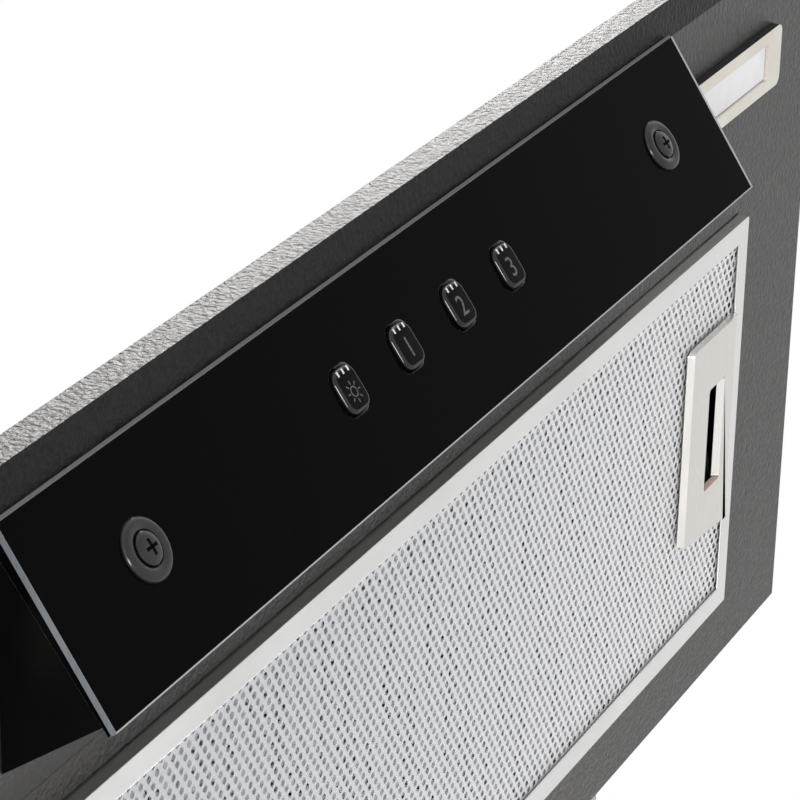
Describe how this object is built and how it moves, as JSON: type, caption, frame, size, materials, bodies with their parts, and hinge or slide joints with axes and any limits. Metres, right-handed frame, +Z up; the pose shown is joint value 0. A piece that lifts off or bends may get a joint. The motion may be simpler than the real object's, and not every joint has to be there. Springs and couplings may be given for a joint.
{
  "type": "pull-out range hood",
  "caption": "Slim pull-out range hood: a sliding tray with tilted gloss control strip, two lamps and a latched grease filter, under a fixed blower casing with duct collar.",
  "frame": {"origin": "centre of the four cabinet screw holes, on the casing's top face", "axes": "+X to the right as seen from the front, the front is -Y, +Z is up"},
  "size_m": [0.598, 0.485, 0.2478],
  "materials": {
    "charcoal_paint": "fine leather-grain powder coat",
    "casing_steel": "galvanised, matt",
    "zinc_steel": "zinc plated",
    "panel_gloss": "high gloss",
    "housing_black": "matt",
    "black_screw": "gloss black",
    "bezel_champagne": "satin champagne",
    "lens_white": "frosted",
    "board_white": "matt",
    "board_green": "solder mask",
    "filter_aluminium": "satin",
    "mesh_aluminium": "bright",
    "latch_steel": "satin",
    "black_plastic": "matt",
    "grey_plastic": "matt",
    "ivory_plastic": "natural acetal",
    "motor_steel": "satin",
    "capacitor_case": "matt"
  },
  "bodies": {
    "housing": {"casing_walls": "casing_steel", "casing_roof": "casing_steel", "base_plate": "casing_steel", "rail_left": "zinc_steel", "rail_right": "zinc_steel", "scroll_left": "black_plastic", "scroll_right": "black_plastic", "motor": "motor_steel", "motor_bracket": "zinc_steel", "run_capacitor": "capacitor_case", "capacitor_clip": "black_plastic", "terminal_box": "black_plastic", "terminal_lid": "black_plastic", "cord_gland": "black_plastic", "duct_collar": "black_plastic", "collar_screws": "zinc_steel", "flap_pin": "zinc_steel", "tray_switch": "black_plastic"},
    "impeller": {"impeller": "grey_plastic", "motor_shaft": "zinc_steel"},
    "flap_front": {"flap_front": "grey_plastic"},
    "flap_rear": {"flap_rear": "grey_plastic"},
    "tray": {"tray_pan": "charcoal_paint", "tray_cover": "charcoal_paint", "runner_left": "zinc_steel", "runner_right": "zinc_steel", "glide_shoes_left": "ivory_plastic", "glide_shoes_right": "ivory_plastic", "runner_screws": "zinc_steel", "filter_ledge_front": "zinc_steel", "filter_ledge_rear": "zinc_steel", "control_housing": "housing_black", "control_panel": "panel_gloss", "cup_washers": "black_screw", "panel_screws": "black_screw", "switch_board": "board_green", "lamp_bezel_left": "bezel_champagne", "lamp_bezel_right": "bezel_champagne", "lamp_lens_left": "lens_white", "lamp_lens_right": "lens_white", "lamp_board_left": "board_white", "lamp_board_right": "board_white"},
    "button_light": {"button_light": "panel_gloss"},
    "button_low": {"button_low": "panel_gloss"},
    "button_medium": {"button_medium": "panel_gloss"},
    "button_high": {"button_high": "panel_gloss"},
    "filter": {"filter_frame": "filter_aluminium", "filter_face_mesh": "mesh_aluminium", "filter_fold_lower": "mesh_aluminium", "filter_fold_upper": "mesh_aluminium", "filter_back_mesh": "mesh_aluminium", "filter_hooks": "zinc_steel", "latch_cup": "zinc_steel"},
    "latch": {"latch_plate": "latch_steel"}
  },
  "joints": [
    {"name": "tray_slide", "type": "slide", "parent": "housing", "child": "tray", "axis": [0, 1, 0], "range_m": [0, 0.18]},
    {"name": "filter_hinge", "type": "hinge", "parent": "tray", "child": "filter", "pos_m": [-0.2422, -0.19175, -0.189], "axis": [0, 1, 0], "range_deg": [0, 60]},
    {"name": "latch_slide", "type": "slide", "parent": "filter", "child": "latch", "axis": [-1, 0, 0], "range_m": [0, 0.005], "stiffness_N_per_m": 300, "springref_m": -0.005},
    {"name": "impeller_spin", "type": "hinge", "parent": "housing", "child": "impeller", "pos_m": [0, -0.036, -0.0572], "axis": [1, 0, 0], "continuous": true},
    {"name": "flap_front_hinge", "type": "hinge", "parent": "housing", "child": "flap_front", "pos_m": [0, 0, 0.0155], "axis": [-1, 0, 0], "range_deg": [0, 75]},
    {"name": "flap_rear_hinge", "type": "hinge", "parent": "housing", "child": "flap_rear", "pos_m": [0, 0, 0.0155], "axis": [1, 0, 0], "range_deg": [0, 75]},
    {"name": "button_light_press", "type": "slide", "parent": "tray", "child": "button_light", "axis": [0, 0.5878, 0.809], "range_m": [0, 0.001], "stiffness_N_per_m": 400, "springref_m": -0.002},
    {"name": "button_low_press", "type": "slide", "parent": "tray", "child": "button_low", "axis": [0, 0.5878, 0.809], "range_m": [0, 0.001], "stiffness_N_per_m": 400, "springref_m": -0.002},
    {"name": "button_medium_press", "type": "slide", "parent": "tray", "child": "button_medium", "axis": [0, 0.5878, 0.809], "range_m": [0, 0.001], "stiffness_N_per_m": 400, "springref_m": -0.002},
    {"name": "button_high_press", "type": "slide", "parent": "tray", "child": "button_high", "axis": [0, 0.5878, 0.809], "range_m": [0, 0.001], "stiffness_N_per_m": 400, "springref_m": -0.002}
  ]
}
